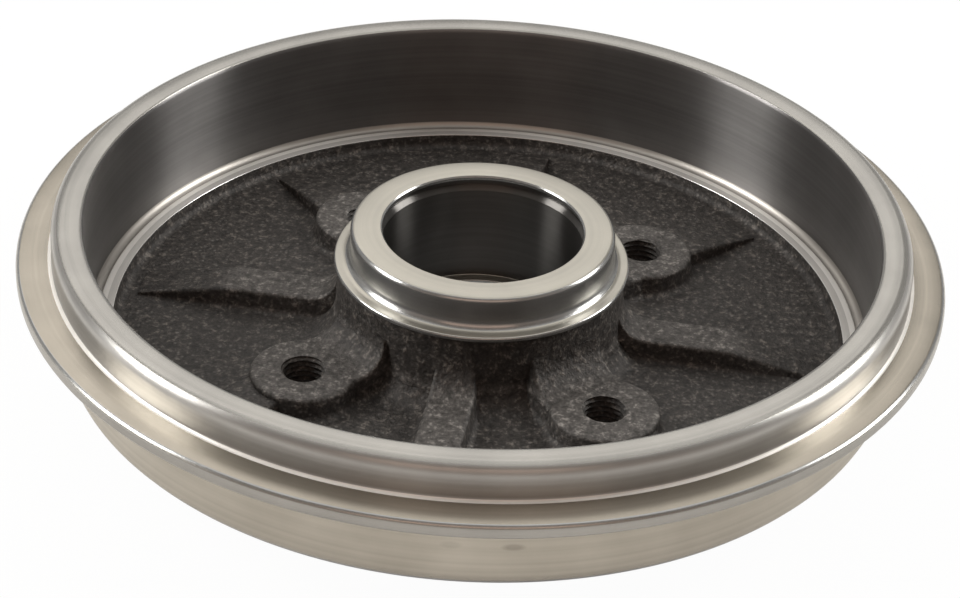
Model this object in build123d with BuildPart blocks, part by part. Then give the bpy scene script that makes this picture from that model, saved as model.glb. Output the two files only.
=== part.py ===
"""Brake drum with integral wheel hub: one grey iron casting, turned where it works.

The drum lies with its open side up. +Z is the hub axis and points out of the open side.
The origin is on that axis at the end of the wheel spigot, the lowest face of the casting.
All sizes are in millimetres.
"""

import os
from math import radians, tan

from build123d import *

# ---- Friction ring -------------------------------------------------------------------
friction_d = 203.2  # bore that the shoes run in
friction_depth = 31.6  # from the rim face down to the turned ledge
mouth_r = 1.4  # round at the mouth of the friction bore
ledge_width = 3.9  # turned ledge between the run-out and the web
ledge_edge_r = 0.4
run_out_width = 2.3  # channel at the foot of the friction bore, where the cutting tool runs out
run_out_depth = 0.5  # below the ledge
run_out_r = 2.0  # round between the friction bore and the channel
body_wall = 6.9  # metal round the friction bore, below the flange
body_draft = 0.6  # how much smaller in radius the body is at its heel
heel_r = 6.0  # round between the body and the underside

# ---- Lip and flange, which the backing plate wraps round -----------------------------
lip_wall = 8.2  # metal round the friction bore at the mouth
lip_height = 9.1  # from the rim face down to the flange
lip_corner_r = 3.0
lip_cove_r = 1.0
flange_reach = 9.0  # how far the flange stands out from the lip
flange_thickness = 3.9
flange_fall = 0.2  # the flange's upper face slopes down towards its edge
flange_top_edge_r = 0.6
flange_under_edge_r = 1.2
flange_root_r = 2.5

# ---- Web -----------------------------------------------------------------------------
web_thickness = 6.6
ledge_thickness = 5.4  # metal below the ledge, at the heel
web_step = 3.8  # how far the cast web lies below the turned ledge
ledge_draft = 0.4  # the cast step below the ledge leans in by this much
pad_d = 148.0  # turned pad that the wheel bolts against
pad_rise = 1.0  # how far the pad stands proud of the cast underside
underside_slope = 4.0  # radial run of the slope from the heel down to the underside

# ---- Hub -----------------------------------------------------------------------------
hub_setback = 4.9  # hub face, below the rim face
bearing_d = 52.0
bearing_seat = 26.5
seat_lead_in = 1.2  # cone that guides the bearing past the ring groove
ring_groove_depth = 1.5  # groove for the bearing's retaining ring
ring_groove_width = 2.0
ring_groove_inset = 1.2  # land between the hub face and the groove
bore_mouth_chamfer = 0.4
neck_wall = 6.6  # metal outside the retaining ring groove
neck_height = 8.8
neck_corner_r = 1.3
neck_cove_r = 2.4
collar_reach = 4.1  # how far the collar under the neck stands out
collar_height = 1.3
collar_corner_r = 0.6
barrel_inset = 1.2  # how far the cast barrel lies inside the collar
barrel_draft = 1.0
barrel_root_r = 8.0  # round between the barrel and the web

# ---- Wheel side of the hub -----------------------------------------------------------
spigot_d = 60.0  # centres the wheel
spigot_height = 8.0
spigot_chamfer = 1.5
cap_seat_d = 50.0  # seat of the grease cap
cap_seat_depth = 7.0
cap_seat_chamfer = 0.8
shoulder_width = 3.0  # shoulder that the bearing seats against; the axle nut passes inside it

# ---- Wheel bolts, bosses and ribs ----------------------------------------------------
bolt_count = 4
bolt_circle_d = 108.0
bolt_hole_d = 10.5  # core of the M12 x 1.5 thread
bolt_hole_chamfer = 0.8
first_bolt_angle = 37.0
boss_d = 29.0
boss_height = 6.0
rib_height = 5.7
rib_width = 13.0
rib_tip_width = 11.5
rib_flat_end = 66.0  # radius where a rib starts to fall away
rib_tip_inset = 4.5  # gap between a rib's tip and the ledge's inner edge
rib_tip_height = 0.6  # what is left of a rib at its tip
arm_width = 24.0  # arm that ties a boss to the barrel
tail_drop = 1.6  # a boss's tail, on its far side, lies this far below the boss
tail_width = 15.0
tail_tip_width = 10.5
tail_flat_end = 70.0  # radius where a tail starts to fall away
rib_root_r = 8.0  # round between the top of a rib or boss and the barrel
rib_edge_r = 1.2  # round on the top edges of bosses and ribs
foot_r = 2.2  # round where bosses and ribs meet the web
draft_angle = 8.0  # lean of the bosses' and ribs' sides, so that the casting leaves its mould

bury = 2.0  # how far bosses and ribs reach into the web and the barrel, so that they fuse
match = 0.01  # how close an edge must lie to count as the one asked for

# ---- Radii and heights worked out from the sizes above -------------------------------
bearing_r = bearing_d / 2
ring_groove_r = bearing_r + ring_groove_depth
neck_r = ring_groove_r + neck_wall
collar_r = neck_r + collar_reach
nut_clearance_r = bearing_r - shoulder_width
friction_r = friction_d / 2
body_r = friction_r + body_wall
lip_r = friction_r + lip_wall
flange_r = lip_r + flange_reach
run_out_edge_r = friction_r - run_out_width
ledge_r = run_out_edge_r - ledge_width
barrel_r = collar_r - barrel_inset
barrel_foot_r = barrel_r + barrel_draft
pad_z = spigot_height
underside_z = pad_z + pad_rise
web_z = underside_z + web_thickness
ledge_z = web_z + web_step
run_out_z = ledge_z - run_out_depth
rim_z = ledge_z + friction_depth
flange_z = rim_z - lip_height
flange_edge_z = flange_z - flange_fall
flange_under_z = flange_edge_z - flange_thickness
hub_z = rim_z - hub_setback
collar_z = hub_z - neck_height
collar_under_z = collar_z - collar_height
groove_top_z = hub_z - ring_groove_inset
groove_under_z = groove_top_z - ring_groove_width
seat_top_z = groove_under_z - seat_lead_in
seat_under_z = seat_top_z - bearing_seat
heel_z = ledge_z - ledge_thickness
boss_z = web_z + boss_height
boss_axis_r = bolt_circle_d / 2
tail_height = boss_height - tail_drop
rib_root_end = barrel_r - bury
rib_tip_r = ledge_r - rib_tip_inset


def ring_edges(builder, radius, height):
    """The circular edges with this radius at this height."""
    rings = builder.edges().filter_by(GeomType.CIRCLE)
    return rings.filter_by(
        lambda edge: abs(edge.radius - radius) < match and abs(edge.center().Z - height) < match
    )


def rib_section(radius, width, height):
    """Cross-section of a rib this far from the axis: drafted sides, rounded top and feet."""
    lean = height * tan(radians(draft_angle))
    foot = width / 2 + foot_r
    with BuildSketch(Plane.YZ.offset(radius)) as section:
        with BuildLine():
            Polyline(
                (-foot, web_z - bury),
                (-foot, web_z),
                (-width / 2, web_z),
                (lean - width / 2, web_z + height),
                (width / 2 - lean, web_z + height),
                (width / 2, web_z),
                (foot, web_z),
                (foot, web_z - bury),
                close=True,
            )
        make_face()
        top = section.vertices().group_by(Axis.Y)[-1]
        feet = section.vertices().filter_by(
            lambda vertex: abs(vertex.Y - web_z) < match and abs(vertex.X) < foot - match
        )
        fillet(top, min(rib_edge_r, height / 3))
        fillet(feet, min(foot_r, height / 3))
    return section.sketch


def radial_rib(stations):
    """Rib along +X, straight between its stations of (radius, width, height)."""
    with BuildPart() as rib:
        loft([rib_section(*station) for station in stations], ruled=True)
    return rib.part


def root_gusset(width, height):
    """Quarter round that carries the top of a rib or an arm up to the barrel."""
    top_z = web_z + height
    with BuildPart() as gusset:
        with BuildSketch(Plane.XZ):
            with BuildLine():
                Polyline(
                    (barrel_r, top_z + rib_root_r),
                    (rib_root_end, top_z + rib_root_r),
                    (rib_root_end, web_z),
                    (barrel_r + rib_root_r, web_z),
                    (barrel_r + rib_root_r, top_z),
                )
                RadiusArc((barrel_r + rib_root_r, top_z), (barrel_r, top_z + rib_root_r), rib_root_r)
            make_face()
        extrude(amount=width / 2 - rib_edge_r, both=True)
    return gusset.part


with BuildPart() as boss:
    # Round boss of one wheel bolt, on the +X side
    boss_lean = boss_height * tan(radians(draft_angle))
    with BuildSketch(Plane.XZ) as boss_section:
        with BuildLine():
            Polyline(
                (boss_axis_r, web_z - bury),
                (boss_axis_r, boss_z),
                (boss_axis_r + boss_d / 2 - boss_lean, boss_z),
                (boss_axis_r + boss_d / 2, web_z),
                (boss_axis_r + boss_d / 2 + foot_r, web_z),
                (boss_axis_r + boss_d / 2 + foot_r, web_z - bury),
                close=True,
            )
        make_face()
        top_corner = boss_section.vertices().group_by(Axis.Y)[-1].sort_by(Axis.X)[-1]
        foot_corner = boss_section.vertices().group_by(Axis.Y)[1].sort_by(Axis.X)[0]
        fillet(top_corner, rib_edge_r)
        fillet(foot_corner, foot_r)
    revolve(axis=Axis((boss_axis_r, 0, 0), (0, 0, 1)))

with BuildPart() as brake_drum:
    # Friction ring, lip, flange and the rounded heel below them
    with BuildSketch(Plane.XZ):
        with BuildLine():
            Polyline(
                (friction_r, rim_z),
                (friction_r, run_out_z),
                (run_out_edge_r, run_out_z),
                (run_out_edge_r, ledge_z),
                (ledge_r, ledge_z),
                (ledge_r - ledge_draft, web_z),
                (ledge_r - ledge_draft, heel_z),
                (body_r - body_draft, heel_z),
                (body_r, flange_under_z),
                (flange_r, flange_under_z),
                (flange_r, flange_edge_z),
                (lip_r, flange_z),
                (lip_r, rim_z),
                close=True,
            )
        make_face()
    revolve(axis=Axis.Z)

    # Web with its turned pad, and the hub with its neck, collar and spigot
    with BuildSketch(Plane.XZ):
        with BuildLine():
            Polyline(
                (nut_clearance_r, hub_z),
                (neck_r, hub_z),
                (neck_r, collar_z),
                (collar_r, collar_z),
                (collar_r, collar_under_z),
                (barrel_r, collar_under_z),
                (barrel_foot_r, web_z),
                (ledge_r, web_z),
                (ledge_r, heel_z),
                (ledge_r - underside_slope, underside_z),
                (pad_d / 2 + pad_rise, underside_z),
                (pad_d / 2, pad_z),
                (spigot_d / 2, pad_z),
                (spigot_d / 2, 0),
                (nut_clearance_r, 0),
                close=True,
            )
        make_face()
    revolve(axis=Axis.Z)

    # Turned edges
    fillet(ring_edges(brake_drum, friction_r, rim_z), mouth_r)
    fillet(ring_edges(brake_drum, friction_r, run_out_z), run_out_r)
    fillet(ring_edges(brake_drum, run_out_edge_r, ledge_z), ledge_edge_r)
    fillet(ring_edges(brake_drum, lip_r, rim_z), lip_corner_r)
    fillet(ring_edges(brake_drum, lip_r, flange_z), lip_cove_r)
    fillet(ring_edges(brake_drum, flange_r, flange_edge_z), flange_top_edge_r)
    fillet(ring_edges(brake_drum, flange_r, flange_under_z), flange_under_edge_r)
    fillet(ring_edges(brake_drum, body_r, flange_under_z), flange_root_r)
    fillet(ring_edges(brake_drum, neck_r, hub_z), neck_corner_r)
    fillet(ring_edges(brake_drum, neck_r, collar_z), neck_cove_r)
    fillet(ring_edges(brake_drum, collar_r, collar_z), collar_corner_r)
    chamfer(ring_edges(brake_drum, spigot_d / 2, 0), spigot_chamfer)

    # Cast rounds
    fillet(ring_edges(brake_drum, body_r - body_draft, heel_z), heel_r)
    fillet(ring_edges(brake_drum, barrel_foot_r, web_z), barrel_root_r)

    # Bolt bosses, each between its arm and its tail
    arm = radial_rib(
        [
            (rib_root_end, arm_width, boss_height),
            (boss_axis_r, arm_width, boss_height),
        ]
    )
    tail = radial_rib(
        [
            (boss_axis_r, tail_width, tail_height),
            (tail_flat_end, tail_width, tail_height),
            (rib_tip_r, tail_tip_width, rib_tip_height),
        ]
    )
    with PolarLocations(0, bolt_count, start_angle=first_bolt_angle):
        add(boss.part)
        add(arm)
        add(root_gusset(arm_width, boss_height))
        add(tail)

    # Ribs, midway between the bosses
    rib = radial_rib(
        [
            (rib_root_end, rib_width, rib_height),
            (rib_flat_end, rib_width, rib_height),
            (rib_tip_r, rib_tip_width, rib_tip_height),
        ]
    )
    with PolarLocations(0, bolt_count, start_angle=first_bolt_angle + 180 / bolt_count):
        add(rib)
        add(root_gusset(rib_width, rib_height))

    # Inside of the hub: bearing seat, retaining ring groove, and the grease cap's seat
    with BuildSketch(Plane.XZ):
        with BuildLine():
            Polyline(
                (0, hub_z),
                (bearing_r + bore_mouth_chamfer, hub_z),
                (bearing_r, hub_z - bore_mouth_chamfer),
                (bearing_r, groove_top_z),
                (ring_groove_r, groove_top_z),
                (ring_groove_r, groove_under_z),
                (bearing_r + seat_lead_in, groove_under_z),
                (bearing_r, seat_top_z),
                (bearing_r, seat_under_z),
                (nut_clearance_r, seat_under_z),
                (nut_clearance_r, cap_seat_depth),
                (cap_seat_d / 2, cap_seat_depth),
                (cap_seat_d / 2, cap_seat_chamfer),
                (cap_seat_d / 2 + cap_seat_chamfer, 0),
                (0, 0),
                close=True,
            )
        make_face()
    revolve(axis=Axis.Z, mode=Mode.SUBTRACT)

    # Wheel bolt holes, countersunk where they open into the pad
    with BuildSketch(Plane.XY):
        with PolarLocations(bolt_circle_d / 2, bolt_count, start_angle=first_bolt_angle):
            Circle(bolt_hole_d / 2)
    extrude(amount=boss_z + bury, mode=Mode.SUBTRACT)
    with Locations((0, 0, pad_z)):
        with PolarLocations(bolt_circle_d / 2, bolt_count, start_angle=first_bolt_angle):
            Cone(
                bolt_hole_d / 2 + bolt_hole_chamfer,
                bolt_hole_d / 2,
                bolt_hole_chamfer,
                align=(Align.CENTER, Align.CENTER, Align.MIN),
                mode=Mode.SUBTRACT,
            )

brake_drum.part.label = "brake_drum"

os.makedirs("parts", exist_ok=True)
export_step(brake_drum.part, "parts/brake_drum.step")
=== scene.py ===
# %% [markdown]
# # A brake drum, lit as in a studio
#
# The drum is one grey iron casting that carries its own wheel hub. It is turned on the rim,
# the friction bore and the hub, and left as cast on the web. This lesson loads the packed
# model as the frame, draws the same form again as fine surfaces, and then gives it turned
# and sandy iron, a pale floor, soft boxes and a camera.

import bmesh
import bpy
import numpy as np
from mathutils import Matrix, Vector


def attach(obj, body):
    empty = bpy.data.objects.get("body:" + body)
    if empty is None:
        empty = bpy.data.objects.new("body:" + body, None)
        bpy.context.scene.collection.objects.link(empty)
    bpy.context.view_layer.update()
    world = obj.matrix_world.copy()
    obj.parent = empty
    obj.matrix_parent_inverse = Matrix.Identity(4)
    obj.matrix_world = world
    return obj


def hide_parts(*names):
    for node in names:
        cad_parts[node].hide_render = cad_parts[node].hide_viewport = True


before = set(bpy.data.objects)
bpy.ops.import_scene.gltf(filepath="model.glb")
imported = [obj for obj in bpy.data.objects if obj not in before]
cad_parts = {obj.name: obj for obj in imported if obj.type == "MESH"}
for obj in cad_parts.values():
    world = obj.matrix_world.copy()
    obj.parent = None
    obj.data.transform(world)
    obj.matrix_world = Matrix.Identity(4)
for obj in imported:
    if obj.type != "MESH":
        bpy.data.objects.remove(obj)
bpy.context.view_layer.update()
scene = bpy.context.scene
mm = 0.001

# %% [markdown]
# ## Sizes
#
# A drum is measured from what it has to fit: the shoes in its friction bore, the wheel
# bearing, and the wheel with its bolts. Those sizes come first. The rest grows from them by
# walls, reaches and depths, so that one change carries through. Everything is in millimetres
# until a mesh is made, with +Z along the hub axis and out of the open side. Heights are
# counted up from the end of the wheel spigot, which stands on the floor.

# %% What the drum fits
friction_r = 101.6
friction_depth = 31.6
bearing_r = 26.0
bearing_seat = 26.5
spigot_r = 30.0  # centres the wheel
spigot_height = 8.0
pad_r = 74.0  # the wheel is bolted against this pad
cap_r = 25.0  # grease cap
cap_depth = 7.0
bolt_count = 4
bolt_circle_r = 54.0
first_bolt_angle = np.radians(37.0)
thread_r = 6.0
thread_core_r = 5.25
thread_pitch = 1.5
print("friction bore", 2 * friction_r, "mm,", bolt_count, "bolts on", 2 * bolt_circle_r, "mm")

# %% Radii of the turned ring
run_out_r = friction_r - 2.3
ledge_line_r = run_out_r - 1.8
ledge_r = run_out_r - 3.9
web_r = ledge_r - 0.4
body_r = friction_r + 6.9
body_draft = 0.6
lip_r = friction_r + 8.2
flange_r = lip_r + 9.0
underside_slope = 4.0
print("drum", round(2 * flange_r, 3), "mm across")

# %% Heights of the turned ring
pad_z = spigot_height
underside_z = pad_z + 1.0
web_z = underside_z + 6.6
ledge_z = web_z + 3.8
run_out_z = ledge_z - 0.5
heel_z = ledge_z - 5.4
rim_z = ledge_z + friction_depth
flange_z = rim_z - 9.1
flange_edge_z = flange_z - 0.2
flange_under_z = flange_edge_z - 3.9
print("drum", round(rim_z, 3), "mm high")

# %% Sizes of the hub
ring_groove_r = bearing_r + 1.5
neck_r = ring_groove_r + 6.6
collar_r = neck_r + 4.1
barrel_r = collar_r - 1.2
barrel_foot_r = barrel_r + 1.0
nut_r = bearing_r - 3.0
hub_z = rim_z - 4.9
collar_z = hub_z - 8.8
collar_under_z = collar_z - 1.3
groove_high_z = hub_z - 1.2
groove_low_z = groove_high_z - 2.0
seat_lead_in = 1.2
shoulder_z = groove_low_z - seat_lead_in - bearing_seat
hub_edge = 0.4
spigot_edge = 0.8
print("hub face at", round(hub_z, 3), "mm, bearing shoulder at", round(shoulder_z, 3), "mm")

# %% Sizes of the bosses, the arms and the ribs
boss_r = 14.5
boss_height = 6.0
arm_width = 24.0
tail_width, tail_tip_width = 15.0, 10.5
tail_height = 4.4
tail_flat_end = 70.0
rib_width, rib_tip_width = 13.0, 11.5
rib_height = 5.7
rib_flat_end = 66.0
tip_r = ledge_r - 4.5
tip_height = 0.6
root_round = 8.0
edge_round = 1.2
foot_round = 2.2
ledge_foot_round = 2.0
bury = 2.0  # how far one form reaches into the next, so that they fuse
draft = np.tan(np.radians(8.0))  # the sides lean, so that the casting leaves its mould
print("ribs and tails end", round(tip_r, 3), "mm from the axis")

# %% [markdown]
# ## Surfaces of two parameters
#
# Nearly all of the drum is turned, so most of its surfaces are an outline swept round the
# axis. A Screw modifier could sweep one. A grid of points worked out with numpy keeps its rows
# and columns known, and each row can then be given a finish of its own. An outline is a short
# list of corners, each with the radius of its round, and `rounded` puts the arcs in.


# %% Outlines with rounded corners
def rounded(corners, steps=6):
    """An outline through (radius, height, round) corners, with an arc at each round.

    An arc's centre lies on the line that halves the corner, at round / sin(half the angle), and
    the arc starts and ends round / tan(half the angle) from the corner. Its points are the centre
    plus the first radius times the cosine and the radius square to it times the sine.
    """
    corners = [np.array(corner, float) for corner in corners]
    points = [corners[0][:2]]
    for before, here, after in zip(corners, corners[1:], corners[2:]):
        into = (before[:2] - here[:2]) / np.linalg.norm(before[:2] - here[:2])
        out = (after[:2] - here[:2]) / np.linalg.norm(after[:2] - here[:2])
        half = np.arccos(np.clip(into @ out, -1, 1)) / 2
        if here[2] <= 0 or half > np.radians(89):
            points.append(here[:2])
            continue
        centre = here[:2] + (into + out) / np.linalg.norm(into + out) * here[2] / np.sin(half)
        first = here[:2] + into * here[2] / np.tan(half) - centre
        last = here[:2] + out * here[2] / np.tan(half) - centre
        turn = np.arctan2(first[0] * last[1] - first[1] * last[0], first @ last)
        angle = np.linspace(0, turn, steps + 1)[:, None]
        across = np.array([-first[1], first[0]])
        points.extend(centre + first * np.cos(angle) + across * np.sin(angle))
    points.append(corners[-1][:2])
    return np.array(points)


def filled_in(outline, longest=4.0):
    """The outline with its long straight stretches cut into shorter ones."""
    points = [outline[0]]
    for start, end in zip(outline, outline[1:]):
        parts = max(1, int(np.ceil(np.linalg.norm(end - start) / longest)))
        points += [start + (end - start) * k / parts for k in range(1, parts + 1)]
    return np.array(points)


print("a square corner with a round of 1 mm:", len(rounded([(0, 0, 0), (9, 0, 1), (9, 9, 0)])), "points")


# %% The outline swept round the axis
def swept(outline, columns):
    """The outline swept round the axis: (radius cos angle, radius sin angle, height), row by row."""
    angle = np.linspace(0, 2 * np.pi, columns, endpoint=False)
    radius, height = outline[:, :1], outline[:, 1:]
    return np.stack(
        [radius * np.cos(angle), radius * np.sin(angle), height + 0 * angle], axis=-1
    ).reshape(-1, 3)


def ring_faces(rows, columns, closed=False):
    """Quads between the rows of a grid whose columns go once round the axis."""
    row = np.arange(rows if closed else rows - 1)[:, None]
    column = np.arange(columns)[None, :]
    below = row * columns
    above = (row + 1) % rows * columns
    after = (column + 1) % columns
    quads = np.stack([below + column, above + column, above + after, below + after], axis=-1)
    return quads.reshape(-1, 4)


print("three rows of eight points make", len(ring_faces(3, 8)), "quads")

# %% A mesh from a grid of points
sharp_angle = np.radians(35)


def mesh_object(name, points, faces, material_of_face, materials):
    """A mesh object at the origin from points in millimetres, smooth except at sharp edges."""
    mesh = bpy.data.meshes.new(name)
    mesh.from_pydata((points * mm).tolist(), [], faces.tolist())
    for material in materials:
        mesh.materials.append(material)
    mesh.polygons.foreach_set("material_index", material_of_face.astype(np.int32))
    mesh.shade_smooth()
    mesh.set_sharp_from_angle(angle=sharp_angle)
    mesh.update()
    piece = bpy.data.objects.new(name, mesh)
    scene.collection.objects.link(piece)
    return piece


def zone_materials(outline, columns, zones):
    """Slot numbers, face by face, and the slots. Of the zones that hold a face, the last wins."""
    radius, height = ((outline[1:] + outline[:-1]) / 2).T
    slots = list(dict.fromkeys(zone[0] for zone in zones))
    index = np.zeros(len(radius), int)
    for material, inner, outer, low, high in zones:
        inside = (radius > inner) & (radius < outer) & (height > low) & (height < high)
        index[inside] = slots.index(material)
    return index.repeat(columns), slots


print("a zone is (material, inner radius, outer radius, low, high)")

# %% [markdown]
# ## Turned iron
#
# Iron that was turned on a lathe carries fine grooves round the axis. They spread a highlight
# across the grooves and keep it narrow along them. Such grooves are too many to model, so the
# shader stretches its highlights instead: that is anisotropy, with a tangent that runs round
# the axis. A fine bump on (radius, height) alone then breaks the light into threads that follow
# the grooves, and a noise on the same two values gives the faint rings of tone between them.


# %% Node and colour helpers
def rgb(sheet_hex):
    """Linear colour of an sRGB hex string."""
    values = np.array([int(sheet_hex[k : k + 2], 16) for k in (0, 2, 4)]) / 255
    linear = np.where(values <= 0.04045, values / 12.92, ((values + 0.055) / 1.055) ** 2.4)
    return (*linear.tolist(), 1.0)


def new_node(tree, kind, settings=None, stops=(), **links):
    """Adds a node. Settings are its properties, and stops a ramp's (position, colour) pairs.

    Links are values or sockets for its inputs, by name, or by number as i0, i1 and so on.
    """
    made = tree.nodes.new(kind)
    for key, value in (settings or {}).items():
        setattr(made, key, value)
    for _ in stops[2:]:
        made.color_ramp.elements.new(0.5)
    for stop, (position, sheet_hex) in enumerate(stops):
        made.color_ramp.elements[stop].position = position
        made.color_ramp.elements[stop].color = rgb(sheet_hex)
    for key, value in links.items():
        by_number = key[0] == "i" and key[1:].isdigit()
        socket = made.inputs[int(key[1:]) if by_number else key.replace("_", " ")]
        if isinstance(value, bpy.types.NodeSocket):
            tree.links.new(value, socket)
        else:
            socket.default_value = value
    return made


def new_material(name):
    """An empty node material with its Principled shader."""
    material = bpy.data.materials.new(name)
    material.use_nodes = True
    tree = material.node_tree
    return material, tree, tree.nodes["Principled BSDF"]


print("mid grey 808080 is", round(rgb("808080")[0], 3), "in linear light")


# %% Coordinates for patterns
def per_metre(size):
    """The scale of a texture whose features are this many millimetres wide."""
    return 1 / (size * mm)


def lathe_coordinate(tree):
    """(radius, height, 0) in metres, the same all the way round, then the place and its height."""
    place = new_node(tree, "ShaderNodeTexCoord").outputs["Object"]
    parts = new_node(tree, "ShaderNodeSeparateXYZ", i0=place)
    flat = new_node(tree, "ShaderNodeCombineXYZ", i0=parts.outputs[0], i1=parts.outputs[1])
    radius = new_node(tree, "ShaderNodeVectorMath", {"operation": "LENGTH"}, i0=flat.outputs[0])
    both = new_node(tree, "ShaderNodeCombineXYZ", i0=radius.outputs["Value"], i1=parts.outputs[2])
    return both.outputs[0], place, parts.outputs[2]


def oval_mark(tree, place, centre, size):
    """1 in the middle of an oval mark and 0 outside it. Centre and size are in metres."""
    offset = new_node(tree, "ShaderNodeVectorMath", {"operation": "SUBTRACT"}, i0=place, i1=centre)
    scaled = new_node(tree, "ShaderNodeVectorMath", {"operation": "DIVIDE"}, i0=offset.outputs[0], i1=size)
    away = new_node(tree, "ShaderNodeVectorMath", {"operation": "LENGTH"}, i0=scaled.outputs[0])
    return new_node(tree, "ShaderNodeMapRange", i0=away.outputs["Value"], i1=1.0, i2=0.5).outputs[0]


print("features 2 mm wide need a scale of", per_metre(2.0))

# %% Turned iron
groove_spacing = 0.25  # real grooves are some 0.1 mm apart, too fine to show, so these are coarser
groove_depth = 0.002
tone_ring_width = 1.1  # faint rings, left where the cutting tool wore or was stopped
cloud_width = 16.0
cloud_share = 0.6  # of the tone, and the rings have the rest
across_grooves = 0.25  # a quarter turn from the tangent, which runs along the grooves
dark_mark_colour = "4A443A"


def turned_iron(name, dark, light, roughness, anisotropic, metallic=0.85, dark_marks=()):
    """Turned grey iron: fine circular grooves and faint rings and clouds of tone."""
    material, tree, shader = new_material(name)
    lathe, place, _ = lathe_coordinate(tree)
    flat = {"noise_dimensions": "2D"}
    rings = new_node(
        tree, "ShaderNodeTexNoise", flat, Vector=lathe, Scale=per_metre(tone_ring_width), Detail=2.0
    )
    cloud = new_node(tree, "ShaderNodeTexNoise", Vector=place, Scale=per_metre(cloud_width), Detail=4.0)
    ring, puff = rings.outputs["Fac"], cloud.outputs["Fac"]
    mixed = new_node(tree, "ShaderNodeMix", {"data_type": "FLOAT"}, i0=cloud_share, i2=ring, i3=puff)
    tones = [(0.3, dark), (0.7, light)]
    colour = new_node(tree, "ShaderNodeValToRGB", stops=tones, i0=mixed.outputs[0]).outputs["Color"]
    for centre, size, depth in dark_marks:
        mark = oval_mark(tree, place, centre, size)
        faint = new_node(tree, "ShaderNodeMath", {"operation": "MULTIPLY"}, i0=mark, i1=depth).outputs[0]
        mark_tone = rgb(dark_mark_colour)
        colour = new_node(
            tree, "ShaderNodeMix", {"data_type": "RGBA"}, i0=faint, i6=colour, i7=mark_tone
        ).outputs[2]
    tree.links.new(colour, shader.inputs["Base Color"])
    tangent = new_node(tree, "ShaderNodeTangent", {"direction_type": "RADIAL", "axis": "Z"})
    tree.links.new(tangent.outputs[0], shader.inputs["Tangent"])
    shader.inputs["Metallic"].default_value = metallic
    shader.inputs["Roughness"].default_value = roughness
    shader.inputs["Anisotropic"].default_value = anisotropic
    shader.inputs["Anisotropic Rotation"].default_value = across_grooves
    fine = new_node(
        tree, "ShaderNodeTexNoise", flat, Vector=lathe, Scale=per_metre(groove_spacing), Detail=1.0
    )
    bump = new_node(
        tree, "ShaderNodeBump", Height=fine.outputs["Fac"], Distance=groove_depth * mm, Strength=1.0
    )
    tree.links.new(bump.outputs[0], shader.inputs["Normal"])
    return material


print("grooves", groove_spacing, "mm apart")

# %% [markdown]
# ## Finishes
#
# One drum shows many finishes, though all of it is the same iron. Each cut had its own tool and
# feed, the shoes and the bearing want the smoothest surfaces, and oil and air have browned the
# outer wall. One material with masks could hold them all. A material for each cut is easier to
# match, because each has its own tones, roughness, stretch and share of bare metal.

# %% Bright finishes
# Neutral and glossy, with long highlights: the sides of the hub and the rest of the turning.
turned = turned_iron("turned iron", "9A9A99", "AEAEAD", 0.24, 0.7)
# A little warmer and softer, which gives the lip its broad glow.
lip_iron = turned_iron("turned iron of the lip", "959390", "A9A7A4", 0.32, 0.65, 0.75)
# Flat faces cut across the axis: pale and even, with hardly any stretch on the hub.
faced_hub = turned_iron("faced iron of the hub", "9F9C94", "B1ADA3", 0.3, 0.12, 0.8)
faced_rim = turned_iron("faced iron of the rim", "94928E", "A6A49F", 0.26, 0.4, 0.8)
# Painted highlights at the ledge line and the lip's foot: nearly white, rough, shining from every side.
painted_highlight_iron = turned_iron("near-white iron of painted highlights", "E2DFDA", "F0EDE8", 0.4, 0.6, 0.4)
# The ledge lies in shade at the foot of the bore, so its paler colour is painted light.
ledge_iron_painted_paler = turned_iron("faced iron of the ledge, painted paler", "BBB8B4", "CAC7C3", 0.42, 0.3, 0.35)
bright = (turned, lip_iron, faced_hub, faced_rim, painted_highlight_iron, ledge_iron_painted_paler)
print("bright:", [finish.name for finish in bright])

# %% Browned finishes
# A thin film of oil and rust takes the blue out of the metal and dulls it.
faced_flange = turned_iron("browned iron on the flange", "9A9489", "ADA69A", 0.26, 0.4, 0.8)
# Two darker oval marks on the front of the outer wall, each (centre, size, strength).
body_dark_marks = [
    ((10.6 * mm, -body_r * mm, 27.6 * mm), (3.2 * mm, 4.0 * mm, 1.2 * mm), 0.3),
    ((-3.7 * mm, -body_r * mm, 27.8 * mm), (3.0 * mm, 4.0 * mm, 1.3 * mm), 0.13),
]
body_iron = turned_iron(
    "browned iron of the outer wall", "ACA69B", "BEB8AD", 0.36, 0.3, 0.76, body_dark_marks
)
print("browned:", faced_flange.name, "and", body_iron.name, "with", len(body_dark_marks), "marks")

# %% Dark finishes
# The bores look into the dark of the drum. Full stretch turns each lamp into one upright band.
run_out_iron = turned_iron("turned iron at the foot of the bore", "96928D", "A6A19B", 0.38, 0.6, 0.85)
friction = turned_iron("turned iron of the friction bore", "62605F", "72706F", 0.33, 1.0)
seat = turned_iron("ground iron of the bearing seat", "4E4C4A", "5A5856", 0.3, 1.0)
print("dark:", [finish.name for finish in (run_out_iron, friction, seat)])

# %% [markdown]
# ## Cast iron
#
# The web is as it came out of its sand mould, under a thin dark coat of rust-proofing. The sand
# leaves grains and lumps. Displacement would need about a million faces for them, so they are a
# bump, and the same noise darkens the pits. The coat is rubbed paler on the tops of the bosses
# and ribs, which a mask on the height picks out. A few grains get paler specks in the colour,
# which are painted glints.

# %% Sand-cast iron
grain_width = 0.75  # moulding sand is about 0.3 mm, too fine to show, so its print is coarser here
lump_width = 1.9
lump_share = 0.62  # of the sand's print, and the grains have the rest
speck_spacing = 1.3
sand_depth = 0.6
coat = [(0.38, "24211F"), (0.55, "3D3936"), (0.66, "6C6660")]
rubbed_coat = [(0.38, "33302D"), (0.55, "54504D"), (0.66, "87827D")]
rubbed_span = 10.0  # above the web, the heights that the mask runs over
rubbed_heights = [(0.48, "000000"), (0.55, "FFFFFF"), (0.62, "FFFFFF"), (0.8, "000000")]
# Colour of the paler specks that are painted glints.
painted_glint_colour = "A19D98"


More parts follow.
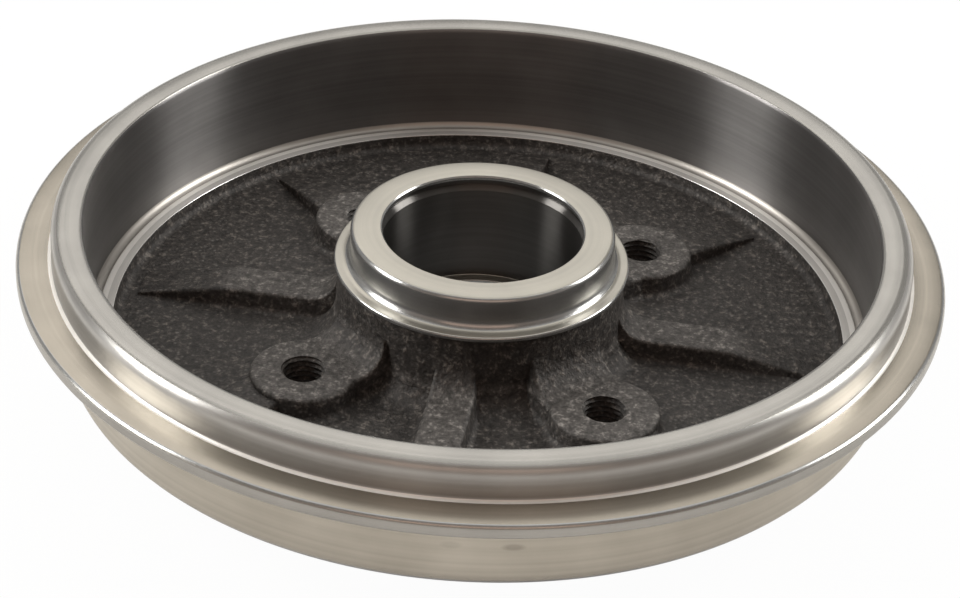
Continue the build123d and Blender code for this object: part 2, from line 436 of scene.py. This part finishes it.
def painted_glints(tree, place):
    """Where a few grains get painted glints: near the middle of some cells, strong in few and none in
    most.
    """
    cells = new_node(tree, "ShaderNodeTexVoronoi", Vector=place, Scale=per_metre(speck_spacing))
    near = new_node(tree, "ShaderNodeMapRange", i0=cells.outputs["Distance"], i1=0.45, i2=0.1)
    lot = new_node(tree, "ShaderNodeSeparateColor", i0=cells.outputs["Color"])
    chosen = new_node(tree, "ShaderNodeMapRange", i0=lot.outputs[0], i1=0.4, i2=1.0, i4=0.3)
    both = new_node(
        tree, "ShaderNodeMath", {"operation": "MULTIPLY"}, i0=near.outputs[0], i1=chosen.outputs[0]
    )
    return both.outputs[0]


def cast_iron(name):
    """Sand-cast iron under dark rust-proofing, rubbed paler on the tops of bosses and ribs."""
    material, tree, shader = new_material(name)
    _, place, height = lathe_coordinate(tree)
    grains = new_node(
        tree, "ShaderNodeTexNoise", Vector=place, Scale=per_metre(grain_width), Detail=2.0, Roughness=0.7
    )
    lumps = new_node(
        tree, "ShaderNodeTexNoise", Vector=place, Scale=per_metre(lump_width), Detail=2.0, Roughness=0.6
    )
    grain, lump = grains.outputs["Fac"], lumps.outputs["Fac"]
    both = new_node(tree, "ShaderNodeMix", {"data_type": "FLOAT"}, i0=lump_share, i2=grain, i3=lump)
    sand = both.outputs[0]
    low = new_node(tree, "ShaderNodeValToRGB", stops=coat, i0=sand).outputs[0]
    high = new_node(tree, "ShaderNodeValToRGB", stops=rubbed_coat, i0=sand).outputs[0]
    level = new_node(tree, "ShaderNodeMapRange", i0=height, i1=web_z * mm, i2=(web_z + rubbed_span) * mm)
    tops = new_node(tree, "ShaderNodeValToRGB", stops=rubbed_heights, i0=level.outputs[0]).outputs[0]
    tone = new_node(tree, "ShaderNodeMix", {"data_type": "RGBA"}, i0=tops, i6=low, i7=high).outputs[2]
    # Paler specks in the base colour are painted glints.
    some, painted_glint_tone = painted_glints(tree, place), rgb(painted_glint_colour)
    colour = new_node(tree, "ShaderNodeMix", {"data_type": "RGBA"}, i0=some, i6=tone, i7=painted_glint_tone).outputs[2]
    tree.links.new(colour, shader.inputs["Base Color"])
    shader.inputs["Metallic"].default_value = 0.25
    shader.inputs["Roughness"].default_value = 0.62
    bump = new_node(tree, "ShaderNodeBump", Height=sand, Distance=sand_depth * mm, Strength=1.0)
    tree.links.new(bump.outputs[0], shader.inputs["Normal"])
    return material


cast = cast_iron("sand-cast iron")
print(cast.name, "with grains", grain_width, "mm and lumps", lump_width, "mm wide")

# %% [markdown]
# ## The turned ring
#
# The shoes press on the friction bore. Below it are a channel, where the cutting tool runs out,
# and a turned ledge. Above it are the rim, the lip and the flange, which the backing plate
# wraps round, and outside is the body. One outline goes through all of them, from the foot of
# the ledge to the edge of the underside, so that no seam shows between two finishes.

# %% Outline of the ring
ring_corners = [
    (web_r - ledge_foot_round, web_z, 0),
    (web_r, web_z, ledge_foot_round - 0.01),
    (ledge_r, ledge_z, 0.3),
    (ledge_line_r, ledge_z, 0),
    (run_out_r, ledge_z, 0.4),
    (run_out_r, run_out_z, 0),
    (friction_r, run_out_z, 2.0),
    (friction_r, rim_z, 1.4),
    (lip_r, rim_z, 3.0),
    (lip_r, flange_z, 1.0),
    (flange_r, flange_edge_z, 1.3),
    (flange_r, flange_under_z, 1.2),
    (body_r, flange_under_z, 2.5),
    (body_r - body_draft, heel_z, 6.0),
    (ledge_r, heel_z, 1.5),
    (ledge_r - underside_slope, underside_z, 0),
]
ring_columns = 720
ring_outline = filled_in(rounded(ring_corners))
print("ring", len(ring_corners), "corners,", len(ring_outline), "points")

# %% Finishes of the ring
# The limits of a zone lie between the faces that it takes and the next ones.
run_out_rise = 1.4  # how far up the bore the tool's run-out shows
rim_edge = 0.4
corner_rise = 0.6  # how high the near-white painted highlight at the lip's foot reaches
ring_zones = [
    (turned, 0, flange_r, 0, rim_z),
    (cast, 0, ledge_r, 0, ledge_z - 0.1),
    (cast, 0, body_r - 1.5, 0, web_z),
    (ledge_iron_painted_paler, ledge_r - 0.2, run_out_r, ledge_z - 0.1, ledge_z + 0.1),
    # Near-white bands at the ledge line and at the foot of the lip are painted highlights.
    (painted_highlight_iron, ledge_line_r, run_out_r + 0.1, run_out_z + 0.01, ledge_z + 0.1),
    (run_out_iron, run_out_r + 0.1, friction_r, run_out_z - 0.1, run_out_z + run_out_rise),
    (friction, friction_r - 0.7, friction_r + 0.6, run_out_z + run_out_rise, rim_z - 0.5),
    (faced_rim, friction_r, lip_r, rim_z - rim_edge, rim_z + 0.1),
    (faced_flange, lip_r, flange_r, flange_edge_z - 0.05, flange_z + 0.15),
    (lip_iron, lip_r - 2.6, lip_r + 0.1, flange_z + corner_rise, rim_z - rim_edge),
    (painted_highlight_iron, lip_r, lip_r + 1.0, flange_z - 0.1, flange_z + corner_rise),
    (faced_rim, flange_r - 0.5, flange_r + 0.1, flange_under_z, flange_edge_z - 0.4),
    (body_iron, body_r - 1.5, body_r + 0.1, web_z - 4.0, flange_under_z - 1.0),
]
ring_material, ring_slots = zone_materials(ring_outline, ring_columns, ring_zones)
ring = mesh_object(
    "friction_ring",
    swept(ring_outline, ring_columns),
    ring_faces(len(ring_outline), ring_columns),
    ring_material,
    ring_slots,
)
print(ring.name, len(ring_slots), "finishes,", len(ring.data.polygons), "faces")

# %% [markdown]
# ## The hub
#
# The wheel bearing is pressed into the hub from the open side, down to a shoulder, and a ring
# in the groove above keeps it there. The axle nut passes inside the shoulder, and a grease cap
# closes the wheel's side. Like the ring, the hub is one swept outline: it goes up through the
# bore, over the hub face and down the neck to the collar, where the cast barrel begins.

# %% Outline of the hub
hub_corners = [
    (spigot_r, pad_z, 0),
    (spigot_r, 0.0, 1.2),
    (cap_r + spigot_edge, 0.0, 0),
    (cap_r, spigot_edge, 0.1),
    (cap_r, cap_depth, 0.2),
    (nut_r, cap_depth, 0.2),
    (nut_r, shoulder_z, 0.3),
    (bearing_r, shoulder_z, 0.2),
    (bearing_r, groove_low_z - seat_lead_in, 0.1),
    (bearing_r + seat_lead_in, groove_low_z, 0),
    (ring_groove_r, groove_low_z, 0.1),
    (ring_groove_r, groove_high_z, 0.1),
    (bearing_r, groove_high_z, 0.1),
    (bearing_r, hub_z - hub_edge, 0.1),
    (bearing_r + hub_edge, hub_z, 0.15),
    (neck_r, hub_z, 1.3),
    (neck_r, collar_z, 2.4),
    (collar_r, collar_z, 0.6),
    (collar_r, collar_under_z, 0.3),
    (barrel_r, collar_under_z, 0),
]
hub_columns = 360
hub_outline = filled_in(rounded(hub_corners))
print("hub", len(hub_corners), "corners,", len(hub_outline), "points")

# %% Finishes of the hub
hub_zones = [
    (turned, 0, collar_r, 0, hub_z),
    (faced_hub, 0, bearing_r, shoulder_z - 0.1, shoulder_z + 0.1),
    (seat, bearing_r - 0.3, ring_groove_r + 0.1, shoulder_z + 0.1, groove_high_z + 0.1),
    (faced_hub, bearing_r + 0.2, neck_r, hub_z - 0.2, hub_z + 0.1),
    (faced_hub, neck_r, collar_r, collar_z - 0.1, collar_z + 0.4),
]
hub_material, hub_slots = zone_materials(hub_outline, hub_columns, hub_zones)
hub = mesh_object(
    "wheel_hub",
    swept(hub_outline, hub_columns),
    ring_faces(len(hub_outline), hub_columns),
    hub_material,
    hub_slots,
)
print(hub.name, len(hub_slots), "finishes,", len(hub.data.polygons), "faces")

# %% [markdown]
# ## The cast web
#
# The web joins the ring to the hub. It could be one surface, but its bosses, arms and ribs run
# into each other at odd angles. So it is put together as a pattern maker would do it: a round
# body first, then bosses, arms, tails and ribs with drafted sides, rounded edges and flared
# feet. Each is a closed form. Booleans join them, and then cut the threaded holes.


# %% Closed forms
def closed_form(name, shapes, materials, material_of_face=None):
    """One mesh object from closed shapes, each a pair of points in millimetres and faces."""
    points, faces = [], []
    for shape_points, shape_faces in shapes:
        faces += [[corner + len(points) for corner in face] for face in shape_faces]
        points += (np.asarray(shape_points) * mm).tolist()
    mesh = bpy.data.meshes.new(name)
    mesh.from_pydata(points, [], faces)
    for material in materials:
        mesh.materials.append(material)
    if material_of_face is not None:
        mesh.polygons.foreach_set("material_index", material_of_face.astype(np.int32))
    form = bpy.data.objects.new(name, mesh)
    scene.collection.objects.link(form)
    return form


def turned_to(points, angle, away=0.0):
    """Points moved out along +X and then turned about the axis."""
    x, y = points[:, 0] + away, points[:, 1]
    cos, sin = np.cos(angle), np.sin(angle)
    return np.stack([x * cos - y * sin, x * sin + y * cos, points[:, 2]], axis=-1)


def join(body, form, operation="UNION"):
    """Joins or cuts the body with the form, which is then removed."""
    step = body.modifiers.new(operation.lower(), "BOOLEAN")
    step.operation, step.solver, step.object = operation, "MANIFOLD", form
    mesh = bpy.data.meshes.new_from_object(body.evaluated_get(bpy.context.evaluated_depsgraph_get()))
    body.modifiers.clear()
    body.data = mesh
    bpy.data.objects.remove(form)
    print(body.name, "after", operation.lower(), len(mesh.polygons), "faces")


quarter_turn = 2 * np.pi / bolt_count
bolt_angles = first_bolt_angle + quarter_turn * np.arange(bolt_count)
rib_angles = bolt_angles + quarter_turn / 2
print("bosses at", np.degrees(bolt_angles).round(1).tolist(), "degrees")

# %% Body of the web
body_corners = [
    (spigot_r, collar_under_z, 0),
    (barrel_r, collar_under_z, 0),
    (barrel_foot_r, web_z, root_round),
    (web_r - ledge_foot_round, web_z, 0),
    (ledge_r - underside_slope, underside_z, 0),
    (pad_r + 1.0, underside_z, 0.4),
    (pad_r, pad_z, 0.2),
    (spigot_r, pad_z, 0),
]
web_columns = 360
body_outline = filled_in(rounded(body_corners))
body_quads = ring_faces(len(body_outline), web_columns, closed=True)
print("body of the web", len(body_outline), "points in its outline")

# %% Finishes of the web's body
# The faces that the ring and the hub cover are marked here and taken out at the end, because
# the booleans need a closed form until then.
cast_slot, pad_slot, hidden_slot = 0, 1, 2
row_start = body_outline
row_end = np.roll(body_outline, -1, axis=0)
row_middle = (row_start + row_end) / 2
hidden = row_middle[:, 0] < spigot_r + 0.1
hidden |= (row_start[:, 1] == collar_under_z) & (row_end[:, 1] == collar_under_z)
hidden |= (row_middle[:, 0] > ledge_r - underside_slope) & (row_middle[:, 1] < web_z - 0.1)
on_pad = (row_middle[:, 0] < pad_r + 0.5) & (row_middle[:, 1] < underside_z - 0.1)
body_slot = np.where(hidden, hidden_slot, np.where(on_pad, pad_slot, cast_slot))
web = closed_form(
    "cast_web",
    [(swept(body_outline, web_columns), body_quads.tolist())],
    [cast, turned, friction],
    body_slot.repeat(web_columns),
)
print(web.name, len(web.data.polygons), "faces, hidden rows", int(hidden.sum()))

# %% [markdown]
# ## Bosses
#
# A boss gives each wheel bolt more thread than the web alone could. It is another swept
# outline, a small one about the bolt's own axis, with a hole down its middle so that its mesh
# needs no pole. It reaches into the web, and the union makes a clean line where they meet.

# %% Bosses
boss_hole_r = 2.0
boss_columns = 96
boss_foot_r = boss_r + foot_round + 0.01
boss_corners = [
    (boss_hole_r, boss_height, 0),
    (boss_r - boss_height * draft, boss_height, edge_round),
    (boss_r, 0, foot_round),
    (boss_foot_r, 0, 0),
    (boss_foot_r, -bury, 0),
    (boss_hole_r, -bury, 0),
]
boss_outline = rounded(boss_corners) + [0, web_z]
boss_points = swept(boss_outline, boss_columns)
boss_quads = ring_faces(len(boss_outline), boss_columns, closed=True).tolist()
bosses = closed_form(
    "bosses", [(turned_to(boss_points, angle, bolt_circle_r), boss_quads) for angle in bolt_angles], [cast]
)
join(web, bosses)

# %% [markdown]
# ## Arms, tails and ribs
#
# An arm ties each boss to the barrel of the hub, and a tail runs on from it towards the ledge.
# A rib stands between each two bosses. They stiffen the web and fall away before they reach
# the ledge. Each is a loft: one cross-section is carried along a straight path, and its width
# and height change on the way. At the root the top climbs a quarter round to the barrel, as
# the sand between the two was rounded in the mould.


# %% Cross-section of a rib
def rib_outline(width, height):
    """Cross-section of a rib: drafted sides, rounded top edges and flared feet."""
    foot = width / 2 + foot_round + 0.01
    top = width / 2 - height * draft
    edge, flare = min(edge_round, height / 3), min(foot_round, height / 3)
    return rounded(
        [
            (-foot, -bury, 0),
            (-foot, 0, 0),
            (-width / 2, 0, flare),
            (-top, height, edge),
            (top, height, edge),
            (width / 2, 0, flare),
            (foot, 0, 0),
            (foot, -bury, 0),
        ]
    )


def lofted_rib(stations):
    """A closed rib along +X through outlines at stations of (radius, width, height)."""
    rings = []
    for radius, width, height in stations:
        outline = rib_outline(width, height)
        rings.append(np.column_stack([radius + 0 * outline[:, 0], outline[:, 0], outline[:, 1] + web_z]))
    around = len(rings[0])
    faces = ring_faces(len(rings), around).tolist()
    last = (len(rings) - 1) * around
    faces.append(list(range(around)))
    faces.append([last + k for k in reversed(range(around))])
    return np.vstack(rings), faces


print("a rib's cross-section has", len(rib_outline(rib_width, rib_height)), "points")


# %% Stations along a rib
def rib_stations(root, run, root_height=None):
    """Stations every few millimetres along a rib, with a quarter round up to the barrel.

    Width and height run straight between the (radius, width, height) points of the run. Nearer
    the barrel than one round, round * (1 - sqrt(1 - reach squared)) is added to the height.
    """
    run = np.array(run, float)
    bends = run[1:-1, 0]
    places = np.concatenate([np.arange(root, run[-1, 0], 3.0), run[:, 0], bends - 1, bends + 1])
    if root_height:
        swing = np.linspace(0, np.pi / 2, 13)
        places = places[places > barrel_r + root_round]
        places = np.concatenate([[root], barrel_r + root_round * (1 - np.sin(swing)), places])
    places = np.unique(np.round(places, 4))
    width = np.interp(places, run[:, 0], run[:, 1])
    height = np.interp(places, run[:, 0], run[:, 2])
    if root_height:
        reach = np.clip((barrel_r + root_round - places) / root_round, 0, 1)
        height += root_round * (1 - np.sqrt(1 - reach**2))
    return np.column_stack([places, width, height])


def ring_of(name, stations, angles):
    """The same rib at each of the angles, as one form."""
    points, faces = lofted_rib(stations)
    return closed_form(name, [(turned_to(points, angle), faces) for angle in angles], [cast])


root_r = np.sqrt((barrel_r - bury) ** 2 - (arm_width / 2) ** 2)
print("arms and ribs start", round(float(root_r), 2), "mm from the axis")

# %% Arms, tails and ribs
arm = [(root_r, arm_width, boss_height), (bolt_circle_r, arm_width, boss_height)]
tail = [
    (bolt_circle_r, tail_width, tail_height),
    (tail_flat_end, tail_width, tail_height),
    (tip_r, tail_tip_width, tip_height),
]
rib = [
    (root_r, rib_width, rib_height),
    (rib_flat_end, rib_width, rib_height),
    (tip_r, rib_tip_width, tip_height),
]
join(web, ring_of("arms", rib_stations(root_r, arm, boss_height), bolt_angles))
join(web, ring_of("tails", rib_stations(bolt_circle_r, tail), bolt_angles))
join(web, ring_of("ribs", rib_stations(root_r, rib, rib_height), rib_angles))

# %% [markdown]
# ## Threaded holes
#
# The wheel bolts screw in from the wheel's side. A bump can't draw their threads, because the
# edge of a hole shows their true outline. So the holes are cut as a tap does it, with rods
# that carry the thread. A rod's radius depends on height and angle: it climbs by one pitch a
# turn. The rods widen at the foot, which leaves each hole its chamfer in the pad.


# %% A rod with a thread
chamfer_depth = 1.0
chamfer_flare = 0.9  # how much a chamfer widens for each millimetre that it rises
past = 0.5  # how far a rod goes past the iron at each end


def threaded_rod(angle, low, high, around=72, per_turn=8):
    """A closed rod with a metric thread, from low to high, wider where the hole is chamfered.

    The phase of the thread is the height in pitches less the angle in turns. A tooth is a
    trapezoid over one phase, and the chamfer is a cone.
    """
    rows = int((high - low) / thread_pitch * per_turn) + 1
    level = np.linspace(low, high, rows)[:, None]
    turn = np.linspace(0, 2 * np.pi, around, endpoint=False)[None, :]
    phase = (level / thread_pitch - turn / (2 * np.pi)) % 1.0
    tooth = np.clip(1.5 - 3.0 * np.abs(phase - 0.5), 0, 1) * (thread_r - thread_core_r)
    mouth = np.maximum(pad_z + chamfer_depth - level, 0) * chamfer_flare
    radius = thread_core_r + np.maximum(tooth, mouth)
    points = np.stack([radius * np.cos(turn), radius * np.sin(turn), level + 0 * turn], axis=-1)
    faces = ring_faces(rows, around)[:, ::-1].tolist()
    faces.append(list(reversed(range(around))))
    faces.append([(rows - 1) * around + k for k in range(around)])
    return turned_to(points.reshape(-1, 3), angle, bolt_circle_r), faces


rod_foot, rod_top = pad_z - past, web_z + boss_height + past
print("the rods reach from", round(rod_foot, 3), "to", round(rod_top, 3), "mm")

# %% Threaded holes of the wheel bolts
rods = [threaded_rod(angle, rod_foot, rod_top) for angle in bolt_angles]
join(web, closed_form("thread cutters", rods, [cast]), "DIFFERENCE")

# %% Open the web where the ring and the hub meet it
shape = bmesh.new()
shape.from_mesh(web.data)
covered = [face for face in shape.faces if face.material_index == hidden_slot]
bmesh.ops.delete(shape, geom=covered, context="FACES")
shape.to_mesh(web.data)
shape.free()
web.data.shade_smooth()
web.data.set_sharp_from_angle(angle=sharp_angle)
print(web.name, "open where the ring and the hub meet it,", len(web.data.polygons), "faces")

# %% [markdown]
# ## One casting in three pieces
#
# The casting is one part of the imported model. The ring, the hub and the web are drawn apart
# because each wants its own grid, so all three ride on the same body and stand for that part.

# %% The pieces ride on the drum and stand for it
for piece in (ring, hub, web):
    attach(piece, "root")
    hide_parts("brake_drum")
print("pieces", [piece.name for piece in (ring, hub, web)])

# %% [markdown]
# ## Studio
#
# The drum stands on pale paper. Turned metal shows whatever is round it, so the room matters as
# much as the lamps: white below, pale grey at eye level, darker above, and a little warmer in
# front. The camera itself sees plain white. Light Path tells the rays apart, so the background
# is white without any more light on the iron, and the paper still takes the drum's shadow.


# %% Floor
floor_half = 3.0  # metres
plain_white = rgb("FFFFFF")
camera_share, mirror_share = 0.97, 0.25  # how much of the paper looks plain white to such rays
floor_mesh = bpy.data.meshes.new("floor")
floor_corners = [(x * floor_half, y * floor_half, 0) for x, y in ((-1, -1), (1, -1), (1, 1), (-1, 1))]
floor_mesh.from_pydata(floor_corners, [], [(0, 1, 2, 3)])
floor = bpy.data.objects.new("floor", floor_mesh)
scene.collection.objects.link(floor)
paper, tree, shader = new_material("white paper floor")
shader.inputs["Base Color"].default_value = rgb("F4F2EE")
shader.inputs["Roughness"].default_value = 0.9
glow = new_node(tree, "ShaderNodeEmission", Color=plain_white, Strength=1.0)
path = new_node(tree, "ShaderNodeLightPath")
glossy = path.outputs["Is Glossy Ray"]
seen = new_node(tree, "ShaderNodeMath", {"operation": "MULTIPLY"}, i0=glossy, i1=mirror_share)
share = new_node(
    tree,
    "ShaderNodeMath",
    {"operation": "MULTIPLY_ADD"},
    i0=path.outputs["Is Camera Ray"],
    i1=camera_share,
    i2=seen.outputs[0],
)
mixed = new_node(
    tree, "ShaderNodeMixShader", i0=share.outputs[0], i1=shader.outputs[0], i2=glow.outputs[0]
)
tree.links.new(mixed.outputs[0], tree.nodes["Material Output"].inputs["Surface"])
floor_mesh.materials.append(paper)
print("floor", 2 * floor_half, "m across")

# %% Room
# The ramp runs on a ray's height, from level to straight up. The tint warms the half of the room
# in front of the drum, which the near side of the body and the far side of the bore reflect.
room_tones = [(0.0, "D8D7D5"), (0.55, "979490"), (1.0, "8B8884")]
room_tint = "FFEDE2"
room_strength = 0.8
matt_drop = 0.52  # matt iron takes that much less light from the room, and the lamps light it
world = bpy.data.worlds.new("studio")
scene.world = world
world.use_nodes = True
tree = world.node_tree
tree.nodes.clear()
place = new_node(tree, "ShaderNodeTexCoord").outputs["Generated"]
parts = new_node(tree, "ShaderNodeSeparateXYZ", i0=place)
height = new_node(tree, "ShaderNodeValToRGB", stops=room_tones, i0=parts.outputs[2])
front = new_node(tree, "ShaderNodeMapRange", i0=parts.outputs[1], i1=0.1, i2=-0.7)
tinted = new_node(
    tree,
    "ShaderNodeMix",
    {"data_type": "RGBA", "blend_type": "MULTIPLY"},
    i0=front.outputs[0],
    i6=height.outputs[0],
    i7=rgb(room_tint),
)
path = new_node(tree, "ShaderNodeLightPath")
dimmer = new_node(
    tree,
    "ShaderNodeMath",
    {"operation": "MULTIPLY_ADD"},
    i0=path.outputs["Is Diffuse Ray"],
    i1=-matt_drop,
    i2=room_strength,
)
room = new_node(tree, "ShaderNodeBackground", Color=tinted.outputs[2], Strength=dimmer.outputs[0])
white = new_node(tree, "ShaderNodeBackground", Color=plain_white, Strength=1.0)
mixed = new_node(
    tree, "ShaderNodeMixShader", i0=path.outputs["Is Camera Ray"], i1=room.outputs[0], i2=white.outputs[0]
)
output = new_node(tree, "ShaderNodeOutputWorld")
tree.links.new(mixed.outputs[0], output.inputs["Surface"])
print("room in", len(tree.nodes), "nodes")

# %% [markdown]
# ## Soft boxes
#
# Two soft boxes stand at the sides, and each puts one upright band of light on the friction
# bore. A wide one behind lights the rim and the hub face, a large weak one overhead fills the
# web, and a warm one in front gives the metal its faint blush. Small hard lamps would put thin
# lines on every edge, so all five are large.


# %% Soft boxes
def soft_box(name, azimuth, elevation, distance, width, height, power, colour, lean=0.0):
    """A rectangular lamp that faces the drum, at this azimuth from +X and elevation, in degrees.

    Lengths are in metres and power in watts. Lean turns the lamp in its own plane. A leaning box
    gives the friction bore a sharper band of light, because the grooves send its top and its foot
    to the same place.
    """
    a, e = np.radians(azimuth), np.radians(elevation)
    away = Vector((np.cos(a) * np.cos(e), np.sin(a) * np.cos(e), np.sin(e)))
    lamp = bpy.data.lights.new(name, "AREA")
    lamp.shape = "RECTANGLE"
    lamp.size, lamp.size_y = width, height
    lamp.energy = power
    lamp.color = rgb(colour)[:3]
    box = bpy.data.objects.new(name, lamp)
    facing = away.to_track_quat("Z", "Y").to_matrix().to_4x4()
    leaning = Matrix.Rotation(np.radians(lean), 4, "Z")
    box.matrix_world = Matrix.Translation(away * distance) @ facing @ leaning
    scene.collection.objects.link(box)
    return box


soft_box("left soft box", 182, 32, 1.3, 0.45, 0.75, 13.6, "FFFEFB", 27)
soft_box("right soft box", 15, 32, 1.3, 0.45, 0.75, 12.4, "FFFEFB", -27)
soft_box("back wall light", 103, 41.5, 1.6, 1.7, 0.75, 5.6, "FFFCF8")
soft_box("overhead soft box", 90, 78, 1.3, 1.6, 1.2, 5.5, "FFFEFB")
soft_box("warm light from the front", -90, 36, 1.5, 1.4, 0.5, 2.0, "FFDCC8")

# %% [markdown]
# ## Camera
#
# The camera stands in front of the drum and looks down at it by 33 degrees, close enough for
# the near side of the rim to look clearly larger than the far one. It is rolled a little. Its
# axes are worked out from the view direction, so the roll is one angle. The colours are left
# as they are written, which is the Standard view.

# %% Camera
width_px = 960
focal_px = 2599.0
sensor_mm = 36.0
target = Vector((0.0001, 0, 0.0241))  # metres
distance = 0.68  # metres
elevation, roll = np.radians(33.0), np.radians(2.87)
back = Vector((0, -np.cos(elevation), np.sin(elevation)))
right = (-back).cross(Vector((0, 0, 1))).normalized()
up = right.cross(-back)
right_rolled = right * np.cos(roll) + up * np.sin(roll)
up_rolled = up * np.cos(roll) - right * np.sin(roll)
lens = bpy.data.cameras.new("camera")
lens.sensor_width = sensor_mm
lens.lens = focal_px / width_px * sensor_mm
camera = bpy.data.objects.new("camera", lens)
facing = Matrix((right_rolled, up_rolled, back)).transposed().to_4x4()
camera.matrix_world = Matrix.Translation(target + back * distance) @ facing
scene.collection.objects.link(camera)
scene.camera = camera
scene.view_settings.view_transform = "Standard"
print("camera", [round(value, 3) for value in camera.location])
